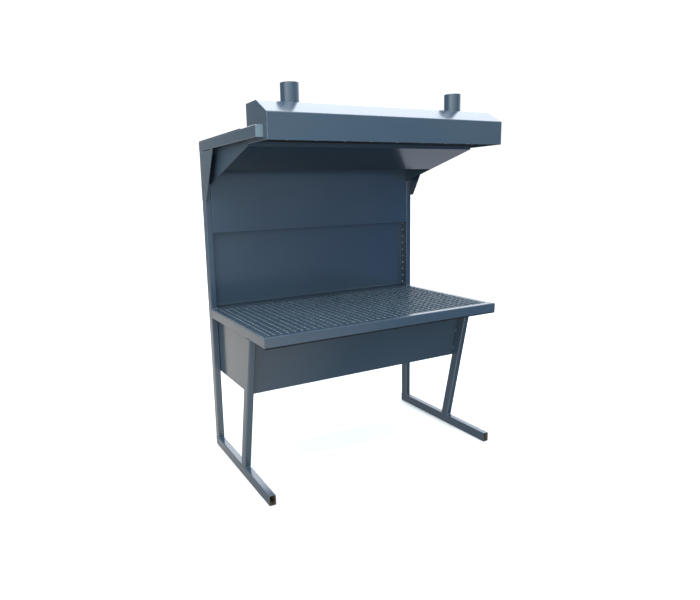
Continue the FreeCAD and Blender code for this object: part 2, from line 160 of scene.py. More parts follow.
class Board:
    """The nodes of one material or world."""

    def __init__(self, tree: bpy.types.NodeTree) -> None:
        """Empties the tree that the nodes go on."""
        tree.nodes.clear()
        self.tree = tree

    def node(
        self,
        kind: str,
        settings: dict[str, object] | None = None,
        inputs: dict[str | int, object] | None = None,
        output: str | int = 0,
    ) -> Wire:
        """Adds one node.

        Args:
            kind: Blender's name of the node type.
            settings: Properties of the node, set first. Stops are a colour ramp's.
            inputs: Numbers, colours or wires by socket.
            output: The socket that is handed on.

        Returns:
            The wire from that output.
        """
        made = self.tree.nodes.new(kind)
        for key, value in (settings or {}).items():
            if key == "stops":
                self.fill_ramp(made.color_ramp, value)
            else:
                setattr(made, key, value)
        for key, value in (inputs or {}).items():
            if isinstance(value, Wire):
                self.tree.links.new(value.socket, made.inputs[key])
            else:
                made.inputs[key].default_value = value
        return Wire(self, made.outputs[output]) if made.outputs else Wire(self, made.inputs[0])

    @staticmethod
    def fill_ramp(ramp: bpy.types.ColorRamp, stops: Sequence[tuple[float, Colour]]) -> None:
        """Sets the stops of a colour ramp.

        Args:
            ramp: The ramp to fill.
            stops: Places with their colours, in rising order.
        """
        while len(ramp.elements) < len(stops):
            ramp.elements.new(1.0)
        for element, (place, colour) in zip(ramp.elements, stops):
            element.position = place
            element.color = colour

    def math(self, operation: str, *values: Wire | float) -> Wire:
        """Runs values through one Math node.

        Args:
            operation: The node's operation.
            values: Its inputs in order.

        Returns:
            The result.
        """
        return self.node("ShaderNodeMath", {"operation": operation}, dict(enumerate(values)))

    def noise(self, place: Wire, scale: float, detail: float = 2.0) -> Wire:
        """Adds a noise from zero to one.

        Args:
            place: Coordinates that it reads.
            scale: Cells in a metre.
            detail: Finer layers.

        Returns:
            The noise value.
        """
        return self.node("ShaderNodeTexNoise", None, {"Vector": place, "Scale": scale, "Detail": detail})

    def mix(self, share: Wire, first: Wire | Colour, second: Wire | Colour) -> Wire:
        """Blends two colours.

        Args:
            share: Share of the second colour.
            first: Colour at zero.
            second: Colour at one.

        Returns:
            The blended colour.
        """
        settings = {"data_type": "RGBA"}
        return self.node("ShaderNodeMix", settings, {0: share, 6: first, 7: second}, output=2)

    def parts(self, vector: Wire) -> tuple[Wire, Wire, Wire]:
        """Splits a vector into its three values."""
        split = self.node("ShaderNodeSeparateXYZ", None, {0: vector}).socket.node
        return tuple(Wire(self, output) for output in split.outputs)

    def place(self) -> Wire:
        """The coordinates of the piece itself."""
        return self.node("ShaderNodeTexCoord", output="Object")

    def relief(self, height: Wire, normal: Wire | None = None) -> Wire:
        """Turns heights into a bumped normal.

        Args:
            height: Heights in metres.
            normal: The normal to start from, or none for the surface's own.

        Returns:
            The bumped normal.
        """
        inputs = {"Strength": 1.0, "Distance": 1.0, "Height": height}
        if normal is not None:
            inputs["Normal"] = normal
        return self.node("ShaderNodeBump", None, inputs)

    def cover(self, inputs: dict[str | int, object]) -> None:
        """Feeds a Principled shader with these inputs to the material's output."""
        shader = self.node("ShaderNodeBsdfPrincipled", None, inputs)
        self.node("ShaderNodeOutputMaterial", None, {"Surface": shader})


# Finishes


def new_board(name: str) -> tuple[Finish, Board]:
    """Starts a material.

    Args:
        name: Its name.

    Returns:
        The material and the board for its nodes.
    """
    material = bpy.data.materials.new(name)
    material.use_nodes = True
    return material, Board(material.node_tree)


@dataclass(frozen=True)
class TubeBore:
    """Inside of an open tube, where no paint reaches."""

    axis: Axis
    middle: Vector
    half_width: float
    half_height: float
    slack: float = 0.0005

    @classmethod
    def of(cls, node: str, axis: Axis, wall: float) -> "TubeBore":
        """Reads the bore of a packed tube.

        Args:
            node: Name of the tube.
            axis: Direction that it runs in.
            wall: Thickness of its wall.

        Returns:
            The bore.
        """
        low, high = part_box(node)
        across, up = (index for index in range(3) if index != axis.value)
        half = (high - low) / 2
        return cls(axis, (low + high) / 2, half[across] - wall, half[up] - wall)

    def mask(self, board: Board, place: Wire) -> Wire:
        """One on the bore's walls, and zero outside.

        Args:
            board: Board of the material.
            place: Object coordinates.

        Returns:
            The mask.
        """
        across, up = (index for index in range(3) if index != self.axis.value)
        values = board.parts(place)
        inside = abs(values[across] - self.middle[across]) < self.half_width + self.slack
        return inside * (abs(values[up] - self.middle[up]) < self.half_height + self.slack)


@dataclass(frozen=True)
class Enamel:
    """Glossy grey-blue enamel on steel, with the small faults of a workshop's spray gun."""

    name: str
    deep: Colour = (0.0285, 0.0505, 0.080, 1.0)
    pale: Colour = (0.0320, 0.0550, 0.085, 1.0)
    dust: Colour = (0.26, 0.26, 0.26, 1.0)
    thin: Colour = (0.085, 0.110, 0.140, 1.0)
    patches: float = 2.1
    patch_fade: Range = (0.3, 0.7)
    patch_dulling: float = 0.02
    roughness: float = 0.19
    shine: float = 0.5
    coat: float = 0.25
    coat_roughness: float = 0.08
    dusting: float = 0.07
    dust_slope: Range = (0.3, 0.95)
    dust_cells: float = 26.0
    dust_fade: Range = (0.38, 0.72)
    dust_dulling: float = 0.6
    edge_radius: float = 0.0014
    edge_wear: float = 0.25
    edge_turn: Range = (0.02, 0.30)
    chip_cells: float = 130.0
    chip_fade: Range = (0.42, 0.62)
    ripple_height: float = 0.0002
    ripples: float = 2.6
    peel_height: float = 0.000012
    peel_cells: float = 240.0
    bore: TubeBore | None = None
    rust_dark: Colour = (0.040, 0.029, 0.020, 1.0)
    rust_light: Colour = (0.150, 0.106, 0.066, 1.0)
    rust_cells: float = 55.0
    rust_fade: Range = (0.35, 0.7)
    rust_dulling: float = 0.6

    def material(self) -> Finish:
        """Makes the enamel.

        Returns:
            The finished material.
        """
        material, board = new_board(self.name)
        place = board.place()
        facing = board.node("ShaderNodeNewGeometry", output="Normal")
        rounded = board.node("ShaderNodeBevel", {"samples": 4}, {"Radius": self.edge_radius})

        tone = board.noise(place, self.patches, detail=4.0).between(*self.patch_fade)
        colour = board.mix(tone, self.deep, self.pale)
        settings = {"operation": "DOT_PRODUCT"}
        turn = board.node("ShaderNodeVectorMath", settings, {0: facing, 1: rounded}, "Value")
        edge = (1.0 - turn).between(*self.edge_turn)
        chips = board.noise(place, self.chip_cells, detail=3.0).between(*self.chip_fade)
        colour = board.mix(edge * chips * self.edge_wear, colour, self.thin)

        upward = board.parts(facing)[2].between(*self.dust_slope)
        grains = board.noise(place, self.dust_cells, detail=6.0).between(*self.dust_fade)
        settled = upward * grains * self.dusting
        colour = board.mix(settled, colour, self.dust)
        gloss = self.roughness + tone * self.patch_dulling + settled * self.dust_dulling
        coat = self.coat - settled * self.coat

        if self.bore is not None:
            bare = self.bore.mask(board, place)
            bloom = board.noise(place, self.rust_cells, detail=6.0).between(*self.rust_fade)
            colour = board.mix(bare, colour, board.mix(bloom, self.rust_dark, self.rust_light))
            gloss = gloss + bare * self.rust_dulling
            coat = coat * (1.0 - bare)

        ripple = board.noise(place, self.ripples, detail=0.0) * self.ripple_height
        peel = board.noise(place, self.peel_cells, detail=1.0) * self.peel_height
        board.cover(
            {
                "Base Color": colour,
                "Roughness": gloss,
                "Specular IOR Level": self.shine,
                "Coat Weight": coat,
                "Coat Roughness": self.coat_roughness,
                "Normal": board.relief(ripple + peel, rounded),
            }
        )
        return material


FRAME_ENAMEL = Enamel("enamel_frame", ripple_height=TUBE_RIPPLE)
SHEET_ENAMEL = Enamel("enamel_sheet")
DUCT_ENAMEL = Enamel("enamel_duct", roughness=0.09, ripple_height=TUBE_RIPPLE)
# Grating enamel painted paler than the frame's: painted light for the light that falls on the grating's
# strips and into its cells.
LIT_GRATING_ENAMEL = Enamel(
    "enamel_grating",
    deep=(0.047, 0.077, 0.112, 1.0),
    pale=(0.058, 0.092, 0.130, 1.0),
    roughness=0.25,
    edge_radius=0.0006,
    ripple_height=0.0,
    peel_height=0.000006,
)
# Pale enamel on the grating's paint ridges: painted highlights for the glints along the strips' tops.
POOL_HIGHLIGHT_ENAMEL = Enamel(
    "enamel_grating_pool_highlights",
    deep=(0.090, 0.126, 0.164, 1.0),
    pale=(0.165, 0.210, 0.255, 1.0),
    patches=24.0,
    roughness=0.22,
    edge_wear=0.0,
    ripple_height=0.0,
    peel_height=0.0,
)
# Arm caps in paler enamel than the frame's: painted light for the brighter look of the caps' front faces.
CAP_HIGHLIGHT_ENAMEL = Enamel(
    "enamel_arm_caps_painted_light",
    deep=(0.088, 0.128, 0.165, 1.0),
    pale=(0.104, 0.150, 0.190, 1.0),
)
CHEEK_ENAMEL = Enamel("enamel_cheeks", roughness=0.5, coat=0.0)
WELD_ENAMEL = Enamel(
    "enamel_welds",
    deep=(0.055, 0.085, 0.115, 1.0),
    pale=(0.105, 0.142, 0.175, 1.0),
    patches=30.0,
    roughness=0.38,
    coat=0.0,
    dusting=0.0,
    edge_wear=0.0,
    ripple_height=0.0,
)
# Near-black enamel on the hood's bottom: painted shade for the dark underside of the hood.
UNDERSIDE_SHADE_ENAMEL = Enamel(
    "enamel_hood_underside_painted_shade",
    deep=(0.007, 0.011, 0.017, 1.0),
    pale=(0.010, 0.015, 0.022, 1.0),
    roughness=0.75,
    shine=0.1,
    coat=0.0,
)


@dataclass(frozen=True)
class DullAluminium:
    """Bare rivet heads, dulled by handling."""

    name: str
    dark: Colour = (0.46, 0.47, 0.48, 1.0)
    light: Colour = (0.80, 0.81, 0.82, 1.0)
    mottle_cells: float = 420.0
    mottle_fade: Range = (0.3, 0.7)
    metal: float = 0.6
    roughness: float = 0.50
    polish: float = 0.16
    grain_cells: float = 900.0
    grain_height: float = 0.00004

    def material(self) -> Finish:
        """Makes the metal.

        Returns:
            The finished material.
        """
        material, board = new_board(self.name)
        place = board.place()
        mottle = board.noise(place, self.mottle_cells, detail=4.0).between(*self.mottle_fade)
        grain = board.noise(place, self.grain_cells) * self.grain_height
        board.cover(
            {
                "Base Color": board.mix(mottle, self.dark, self.light),
                "Metallic": self.metal,
                "Roughness": self.roughness - mottle * self.polish,
                "Normal": board.relief(grain),
            }
        )
        return material


@dataclass(frozen=True)
class ShadeBeadFinish:
    """Near-black bead finish with slightly lighter speckles, which paints the shade line under the front
    rail.
    """

    name: str
    dark: Colour = (0.004, 0.004, 0.005, 1.0)
    speckle_tone: Colour = (0.012, 0.013, 0.015, 1.0)
    speckle_cells: float = 60.0
    speckle_fade: Range = (0.4, 0.7)
    roughness: float = 0.7
    speckle_dulling: float = 0.2
    shine: float = 0.12
    lump_cells: float = 90.0
    lump_height: float = 0.0003

    def material(self) -> Finish:
        """Makes the mastic.

        Returns:
            The finished material.
        """
        material, board = new_board(self.name)
        place = board.place()
        speckles = board.noise(place, self.speckle_cells, detail=3.0).between(*self.speckle_fade)
        lumps = board.noise(place, self.lump_cells) * self.lump_height
        board.cover(
            {
                "Base Color": board.mix(speckles, self.dark, self.speckle_tone),
                "Roughness": self.roughness + speckles * self.speckle_dulling,
                "Specular IOR Level": self.shine,
                "Normal": board.relief(lumps),
            }
        )
        return material


@dataclass(frozen=True)
class PaleFloor:
    """Plain pale studio floor."""

    name: str
    colour: Colour = (0.86, 0.86, 0.86, 1.0)
    roughness: float = 0.9

    def material(self) -> Finish:
        """Makes the floor's surface.

        Returns:
            The finished material.
        """
        material, board = new_board(self.name)
        board.cover({"Base Color": self.colour, "Roughness": self.roughness})
        return material


# Bench work with operators


class Bench:
    """Operator work on one piece at a time."""

    SHARP_ANGLE = math.radians(50.0)
    SMOOTH_ANGLE = math.radians(35.0)
    FLATNESS = 100
    BEND_STEPS = 4
    CUT_EDGE = 0.2

    @staticmethod
    def clear() -> None:
        """Leaves edit mode and deselects everything."""
        if bpy.context.object is not None and bpy.context.object.mode != "OBJECT":
            bpy.ops.object.mode_set(mode="OBJECT")
        bpy.ops.object.select_all(action="DESELECT")

    @staticmethod
    def take(name: str) -> Piece:
        """Names the piece that was just added and settles its place in its mesh.

        Args:
            name: Name of the piece.

        Returns:
            The piece.
        """
        piece = bpy.context.object
        piece.name = name
        piece.data.name = name
        bpy.ops.object.transform_apply(location=True, rotation=True, scale=True)
        return piece

    @classmethod
    def block(cls, name: str, low: Vector, high: Vector) -> Piece:
        """Adds a block between two corners.

        Args:
            name: Name of the piece.
            low: Lowest corner.
            high: Highest corner.

        Returns:
            The block.
        """
        cls.clear()
        bpy.ops.mesh.primitive_cube_add(size=1.0, location=(low + high) / 2, scale=high - low)
        return cls.take(name)

    @classmethod
    def edit(cls, piece: Piece) -> None:
        """Opens one piece in edit mode.

        Args:
            piece: The piece to open.
        """
        cls.clear()
        piece.select_set(True)
        bpy.context.view_layer.objects.active = piece
        bpy.ops.object.mode_set(mode="EDIT")

    @staticmethod
    def pick(piece: Piece, element: Element, test: Callable[..., bool]) -> None:
        """Selects what passes a test, in edit mode.

        Args:
            piece: The piece that is open.
            element: What to select.
            test: Takes a corner's place, an edge's two places, or a face's middle and normal.
        """
        bpy.ops.mesh.select_mode(type=element.value)
        bpy.ops.mesh.select_all(action="DESELECT")
        mesh = bmesh.from_edit_mesh(piece.data)
        if element is Element.CORNER:
            found = [corner for corner in mesh.verts if test(corner.co)]
        elif element is Element.EDGE:
            found = [edge for edge in mesh.edges if test(edge.verts[0].co, edge.verts[1].co)]
        else:
            found = [face for face in mesh.faces if test(face.calc_center_median(), face.normal)]
        for item in found:
            item.select_set(True)
        mesh.select_flush_mode()
        bmesh.update_edit_mesh(piece.data)

    @classmethod
    def pick_fold(cls, piece: Piece, point: Vector, span: Vector) -> None:
        """Selects the edges on the line through a point along a span."""
        cls.pick(piece, Element.EDGE, lambda *ends: all(cls.on_line(end, point, span) for end in ends))

    @staticmethod
    def modify(piece: Piece, kind: str, **settings: object) -> None:
        """Adds a modifier to a piece and applies it.

        Args:
            piece: The piece to change.
            kind: Blender's name of the modifier type.
            settings: Properties of the modifier.
        """
        bpy.ops.object.mode_set(mode="OBJECT")
        modifier = piece.modifiers.new(kind.lower(), kind)
        for key, value in settings.items():
            setattr(modifier, key, value)
        bpy.context.view_layer.objects.active = piece
        bpy.ops.object.modifier_apply(modifier=modifier.name)

    @classmethod
    def soften(cls, piece: Piece, width: float, segments: int = 2) -> None:
        """Rounds the sharp edges of a piece.

        Args:
            piece: The piece to round.
            width: Width of the rounding.
            segments: Steps in it.
        """
        cls.modify(
            piece,
            "BEVEL",
            width=width,
            segments=segments,
            limit_method="ANGLE",
            angle_limit=cls.SHARP_ANGLE,
            use_clamp_overlap=True,
        )

    @classmethod
    def close(cls, piece: Piece) -> None:
        """Merges doubles, turns all faces outwards and shades the piece, with flat faces kept flat.

        Args:
            piece: The piece to close.
        """
        cls.edit(piece)
        bpy.ops.mesh.select_all(action="SELECT")
        bpy.ops.mesh.remove_doubles(threshold=NEAR / 10)
        bpy.ops.mesh.normals_make_consistent(inside=False)
        bpy.ops.object.mode_set(mode="OBJECT")
        bpy.ops.object.shade_smooth_by_angle(angle=cls.SMOOTH_ANGLE)
        cls.modify(piece, "WEIGHTED_NORMAL", mode="FACE_AREA", weight=cls.FLATNESS, keep_sharp=True)

    @classmethod
    def join(cls, pieces: Sequence[Piece], name: str) -> Piece:
        """Joins pieces into one.

        Args:
            pieces: The pieces, of which the first is kept.
            name: Name of the joined piece.

        Returns:
            The joined piece.
        """
        cls.clear()
        for piece in pieces:
            piece.select_set(True)
        bpy.context.view_layer.objects.active = pieces[0]
        bpy.ops.object.join()
        pieces[0].name = name
        pieces[0].data.name = name
        return pieces[0]

    @staticmethod
    def copy(piece: Piece, turn: Matrix) -> Piece:
        """Copies a piece with a mesh of its own.

        Args:
            piece: The piece to copy.
            turn: Where the copy goes from the origin.

        Returns:
            The copy.
        """
        made = piece.copy()
        made.data = piece.data.copy()
        bpy.context.scene.collection.objects.link(made)
        made.data.transform(turn)
        return made

    @classmethod
    def folded_sheet(
        cls,
        name: str,
        outline: Sequence[Vector],
        span: Vector,
        outward: Vector,
        gauge: float,
        bend: float,
    ) -> Piece:
        """Folds a sheet along an outline of its outer face.

        Args:
            name: Name of the piece.
            outline: Corners of the outer face, in one plane.
            span: How far the outline is drawn across.
            outward: A direction that the first run faces.
            gauge: Thickness of the sheet.
            bend: Radius of the folds.

        Returns:
            The folded sheet.
        """
        cls.clear()
        run = outline[1] - outline[0]
        bpy.ops.mesh.primitive_plane_add(size=1.0)
        middle = outline[0] + run / 2 + span / 2
        axes = (span, run, span.cross(run).normalized())
        columns = [(*axis, 0.0) for axis in axes] + [(*middle, 1.0)]
        bpy.context.object.matrix_world = Matrix(columns).transposed()
        piece = cls.take(name)
        cls.edit(piece)
        for last, corner in zip(outline[1:], outline[2:]):
            cls.pick_fold(piece, last, span)
            bpy.ops.mesh.extrude_edges_move(TRANSFORM_OT_translate={"value": corner - last})
        bpy.ops.mesh.select_all(action="SELECT")
        bpy.ops.mesh.normals_make_consistent(inside=False)
        bpy.ops.object.mode_set(mode="OBJECT")
        first = min(piece.data.polygons, key=lambda face: (face.center - middle).length)
        cls.edit(piece)
        if first.normal.dot(outward) < 0:
            bpy.ops.mesh.select_all(action="SELECT")
            bpy.ops.mesh.flip_normals()
        for corner in outline[1:-1]:
            cls.pick_fold(piece, corner, span)
            bpy.ops.mesh.bevel(offset=bend, segments=cls.BEND_STEPS, affect="EDGES")
        cls.modify(piece, "SOLIDIFY", thickness=gauge, offset=-1.0, use_even_offset=True)
        cls.soften(piece, gauge * cls.CUT_EDGE)
        cls.close(piece)
        return piece

    @staticmethod
    def on_line(place: Vector, point: Vector, direction: Vector) -> bool:
        """Tells whether a place lies on the line through a point."""
        away = place - point
        return (away - away.project(direction)).length < NEAR


# Sub-assemblies


def dress(piece: Piece, material: Finish, slot: Slot, *replaced: str, body: str = "frame") -> None:
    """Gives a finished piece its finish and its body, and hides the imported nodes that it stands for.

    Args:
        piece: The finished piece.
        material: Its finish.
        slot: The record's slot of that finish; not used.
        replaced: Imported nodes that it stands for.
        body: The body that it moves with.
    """
    piece.data.materials.clear()
    piece.data.materials.append(material)
    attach(piece, body)
    if replaced:
        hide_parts(*replaced)
    log.info("%s: %d faces", piece.name, len(piece.data.polygons))


def paint_nodes(material: Finish, names: Iterable[str]) -> None:
    """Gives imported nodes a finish.

    Args:
        material: The finish.
        names: Names of the nodes.
    """
    for name in names:
        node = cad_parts[name]
        node.data.materials.clear()
        node.data.materials.append(material)
        log.info("%s: packed node, %s", name, material.name)


def corners_of(node: str) -> list[Vector]:
    """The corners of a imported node."""
    return [corner.co.copy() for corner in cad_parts[node].data.vertices]


def levels(values: Iterable[float]) -> list[float]:
    """The different values in rising order."""
    return sorted({round(value, DIGITS) for value in values})


def hood_brow() -> float:
    """Height of the fold between the hood's front and its slope."""
    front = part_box("hood_shell")[0].y
    return max(corner.z for corner in corners_of("hood_shell") if corner.y < front + NEAR)


@dataclass
class TableRim:
    """Mitred tube round the table's opening."""

    corner: float = 0.006
    groove: float = 0.0005

    def rail(self, edge: str) -> Piece:
        """Shapes one mitred rail.

        Args:
            edge: The side of the table.

        Returns:
            The rail.
        """
        node = f"table_rail_{edge}"
        low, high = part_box(node)
        run, across = (Axis.X, Axis.Y) if edge in ("front", "rear") else (Axis.Y, Axis.X)
        inner = high[across.value] if edge in ("front", "left") else low[across.value]
        width = high[across.value] - low[across.value]
        piece = Bench.block(f"rim_{edge}", low, high)
        Bench.edit(piece)
        for end, sign in ((low[run.value], 1), (high[run.value], -1)):
            Bench.pick(
                piece,
                Element.CORNER,
                lambda at, end=end: abs(at[run.value] - end) < NEAR and abs(at[across.value] - inner) < NEAR,
            )
            bpy.ops.transform.translate(value=run.vector * sign * width)
        Bench.pick(piece, Element.EDGE, lambda a, b: abs(a[run.value] - b[run.value]) > 2 * width)
        bpy.ops.mesh.bevel(offset=self.corner, segments=Bench.BEND_STEPS, affect="EDGES")
        Bench.soften(piece, self.groove)
        Bench.close(piece)
        return piece

    def build(self, material: Finish) -> None:
        """Builds and dresses the four rails."""
        for edge in EDGES:
            dress(self.rail(edge), material, Slot.FRAME, f"table_rail_{edge}")


@dataclass
class Gussets:
    """Plates under the roof arms, with the gap that is left between their tacks."""

    tip: float = 0.026
    shortfall: float = 0.013
    gap: float = 0.0045
    tacked: float = 0.040
    step: float = 0.002
    edge: float = 0.0004

    def plate(self, side: str) -> Piece:
        """Cuts one plate.

        Args:
            side: Which arm it is under.

        Returns:
            The plate.
        """
        low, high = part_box(f"arm_gusset_{side}")
        piece = Bench.block(f"gusset_plate_{side}", low + Axis.Z.vector * self.shortfall, high)
        Bench.edit(piece)
        Bench.pick(piece, Element.CORNER, lambda at: at.y < low.y + NEAR and at.z < high.z - NEAR)
        bpy.ops.transform.translate(value=Axis.Y.vector * (high.y - low.y - self.tip))
        front, rear = low.y + self.tacked, high.y - self.tacked
        for cut in (front - self.step, front, rear, rear + self.step):
            bpy.ops.mesh.select_all(action="SELECT")
            bpy.ops.mesh.bisect(plane_co=(0.0, cut, 0.0), plane_no=Axis.Y.vector)
        Bench.pick(piece, Element.FACE, lambda at, normal: normal.z > UPWARD and front < at.y < rear)
        bpy.ops.transform.translate(value=-Axis.Z.vector * self.gap)
        Bench.soften(piece, self.edge)
        Bench.close(piece)
        return piece

    def build(self, material: Finish) -> None:
        """Builds and dresses the two plates."""
        for side in SIDES:
            dress(self.plate(side), material, Slot.FRAME, f"arm_gusset_{side}")


@dataclass
class EndStrips:
    """Strips on edge that close the outer ends of the gratings."""

    thickness: float = 0.004
    proud: float = 0.0003
    edge: float = 0.0005

    def middle(self, side: str) -> float:
        """Works out where a strip stands along X.

        Args:
            side: Which grating.

        Returns:
            The place of its middle.
        """
        low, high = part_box(f"grating_{side}")
        inset = self.thickness / 2 - self.proud
        return low.x + inset if SIDES[side] < 0 else high.x - inset

    def build(self, material: Finish, side: str) -> None:
        """Builds and dresses the strip of one grating.

        Args:
            material: Its finish, the gratings' enamel, painted paler as painted light on them.
            side: Which grating.
        """
        node = f"grating_{side}"
        low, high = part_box(node)
        half = self.thickness / 2
        start = Vector((self.middle(side) - half, low.y, low.z + self.proud))
        end = Vector((self.middle(side) + half, high.y, high.z))
        piece = Bench.block(f"grating_end_strip_{side}", start, end)
        Bench.soften(piece, self.edge)
        Bench.close(piece)
        dress(piece, material, Slot.GRATING, body=node)


@dataclass
class GratingPools:
    """Paint that has pooled into long ridges along the top strips, thickest where strips cross."""

    length: float = 0.0385
    nose: float = 0.006
    width: float = 0.0064
    height: float = 0.0027
    sunk: float = 0.0012
    segments: int = 12
    rings: int = 6
    strip: float = 0.004
    strip_slack: float = 0.0001

    def strips(self, values: Iterable[float]) -> list[float]:
        """Finds the middles of strips from the places of their sides.

        Args:
            values: Places of the sides, in any order.

        Returns:
            The middles in rising order.
        """
        places = levels(values)
        pairs = zip(places, places[1:])
        return [(a + b) / 2 for a, b in pairs if abs(b - a - self.strip) < self.strip_slack]

    def pool(self, top: float) -> Piece:
        """Models one pool on the grating's top.

        Args:
            top: Height of the lower strips.

        Returns:
            The pool.
        """
        Bench.clear()
        bpy.ops.mesh.primitive_uv_sphere_add(
            segments=self.segments,
            ring_count=self.rings,
            radius=1.0,
            scale=(self.width / 2, self.nose, self.height),
        )
        piece = Bench.take("pool")
        Bench.edit(piece)
        for sign in SIDES.values():
            Bench.pick(piece, Element.CORNER, lambda at, sign=sign: at.y * sign > NEAR)
            bpy.ops.transform.translate(value=Axis.Y.vector * sign * (self.length / 2 - self.nose))
        bpy.ops.mesh.select_all(action="SELECT")
        bpy.ops.mesh.bisect(
            plane_co=(0.0, 0.0, -self.sunk), plane_no=Axis.Z.vector, clear_inner=True, use_fill=True
        )
        bpy.ops.mesh.select_all(action="SELECT")
        bpy.ops.transform.translate(value=Axis.Z.vector * top)
        bpy.ops.object.mode_set(mode="OBJECT")
        return piece

    def build(self, material: Finish, side: str, ends: EndStrips) -> None:
        """Builds and dresses the pools of one grating.

        Args:
            material: Their finish, pale enough to paint highlights on the ridges.
            side: Which grating.
            ends: The strips that close the gratings.
        """
        node = f"grating_{side}"
        corners = corners_of(node)
        heights = levels(corner.z for corner in corners)
        columns = self.strips(corner.x for corner in corners if corner.z > heights[-1] - NEAR)
        columns.append(ends.middle(side))
        rows = self.strips(corner.y for corner in corners if abs(corner.z - heights[-2]) < NEAR)
        pool = self.pool(heights[-2])
        pools = [
            Bench.copy(pool, Matrix.Translation((column, row, 0.0))) for column in columns for row in rows
        ]
        bpy.data.objects.remove(pool)
        joined = Bench.join(pools, f"grating_pools_{side}")
        Bench.close(joined)
        dress(joined, material, Slot.GRATING, body=node)


@dataclass
class DeckShadeBead:
    """Near-black bead between the front rail and the edge of the hopper's deck, which paints the shade line
    under the rail.
    """

    above: float = 0.003
    below: float = 0.0045
    setback: float = 0.0005
    end_gap: float = 0.003
    rounding: float = 0.0025
    steps: int = 3

    def build(self, material: Finish) -> None:
        """Builds and dresses the bead.

        Args:
            material: Its finish, near-black as painted shade.
        """
        low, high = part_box("table_rail_front")
        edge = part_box("hopper_deck")[0].y
        start = Vector((low.x + self.end_gap, low.y + self.setback, low.z - self.below))
        end = Vector((high.x - self.end_gap, edge + self.rounding, low.z + self.above))
        piece = Bench.block("deck_shade_bead", start, end)
        Bench.edit(piece)
        Bench.pick(piece, Element.EDGE, lambda a, b: max(a.z, b.z) < low.z and abs(a.x - b.x) > self.rounding)
        bpy.ops.mesh.bevel(offset=self.rounding, segments=self.steps, affect="EDGES")
        Bench.close(piece)
        dress(piece, material, Slot.SHEET)


@dataclass
class BackWall:
    """Folded sheets between the uprights."""

    gauge: float = 0.002
    bend: float = 0.0023
    foot_gap: float = 0.005
    foot_hem: float = 0.008
    hem_rounding: float = 0.0036

    def panel(self, node: str, name: str, faces_front: bool) -> Piece:
        """Folds one sheet with its two side flanges.

        Args:
            node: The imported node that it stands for.
            name: Name of the piece.
            faces_front: Whether its flanges are folded to the rear.

        Returns:
            The folded sheet.
        """
        low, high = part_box(node)
        face, fold = (low.y, high.y) if faces_front else (high.y, low.y)
        outline = [
            Vector((low.x, fold, low.z)),
            Vector((low.x, face, low.z)),
            Vector((high.x, face, low.z)),
            Vector((high.x, fold, low.z)),
        ]
        span = Vector((0.0, 0.0, high.z - low.z))
        return Bench.folded_sheet(name, outline, span, -Axis.X.vector, self.gauge, self.bend)

    def hemmed_panel(self) -> Piece:
        """Folds the upper panel and its lower hem.

        Returns:
            The panel with its hem.
        """
        node = "upper_back_panel"
        panel = self.panel(node, "upper_back_sheet", True)
        low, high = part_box(node)
        # The last depth is that of the side flanges, and the one before it is the hem's.
        hem_back = levels(corner.y for corner in corners_of(node) if corner.z < low.z + 2 * self.gauge)[-2]
        start = Vector((low.x + self.gauge, low.y + self.gauge / 2, low.z))
        end = Vector((high.x - self.gauge, hem_back, low.z + self.gauge))
        hem = Bench.block("hem", start, end)
        Bench.soften(hem, self.gauge * Bench.CUT_EDGE)
        return Bench.join([panel, hem], panel.name)

    def footed_panel(self) -> Piece:
        """Folds the lower panel and the rolled hem along its foot.

        Returns:
            The panel with its hem.
        """
        node = "lower_back_panel"
        panel = self.panel(node, "lower_back_sheet", False)
        low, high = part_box(node)
        face = high.y - self.gauge
        start = Vector((low.x + self.gauge, face - self.foot_hem, low.z + self.foot_gap))
        end = Vector((high.x - self.gauge, face + self.gauge / 2, start.z + self.foot_hem))
        hem = Bench.block("hem", start, end)
        Bench.soften(hem, self.hem_rounding, Bench.BEND_STEPS)
        return Bench.join([panel, hem], panel.name)

    def build(self, material: Finish) -> None:
        """Builds and dresses the three sheets.

        Args:
            material: Their finish.
        """
        dress(self.hemmed_panel(), material, Slot.SHEET, "upper_back_panel")
        dress(self.footed_panel(), material, Slot.SHEET, "lower_back_panel")
        cover = self.panel("rear_cover_panel", "rear_cover_sheet", False)
        dress(cover, material, Slot.SHEET, "rear_cover_panel")


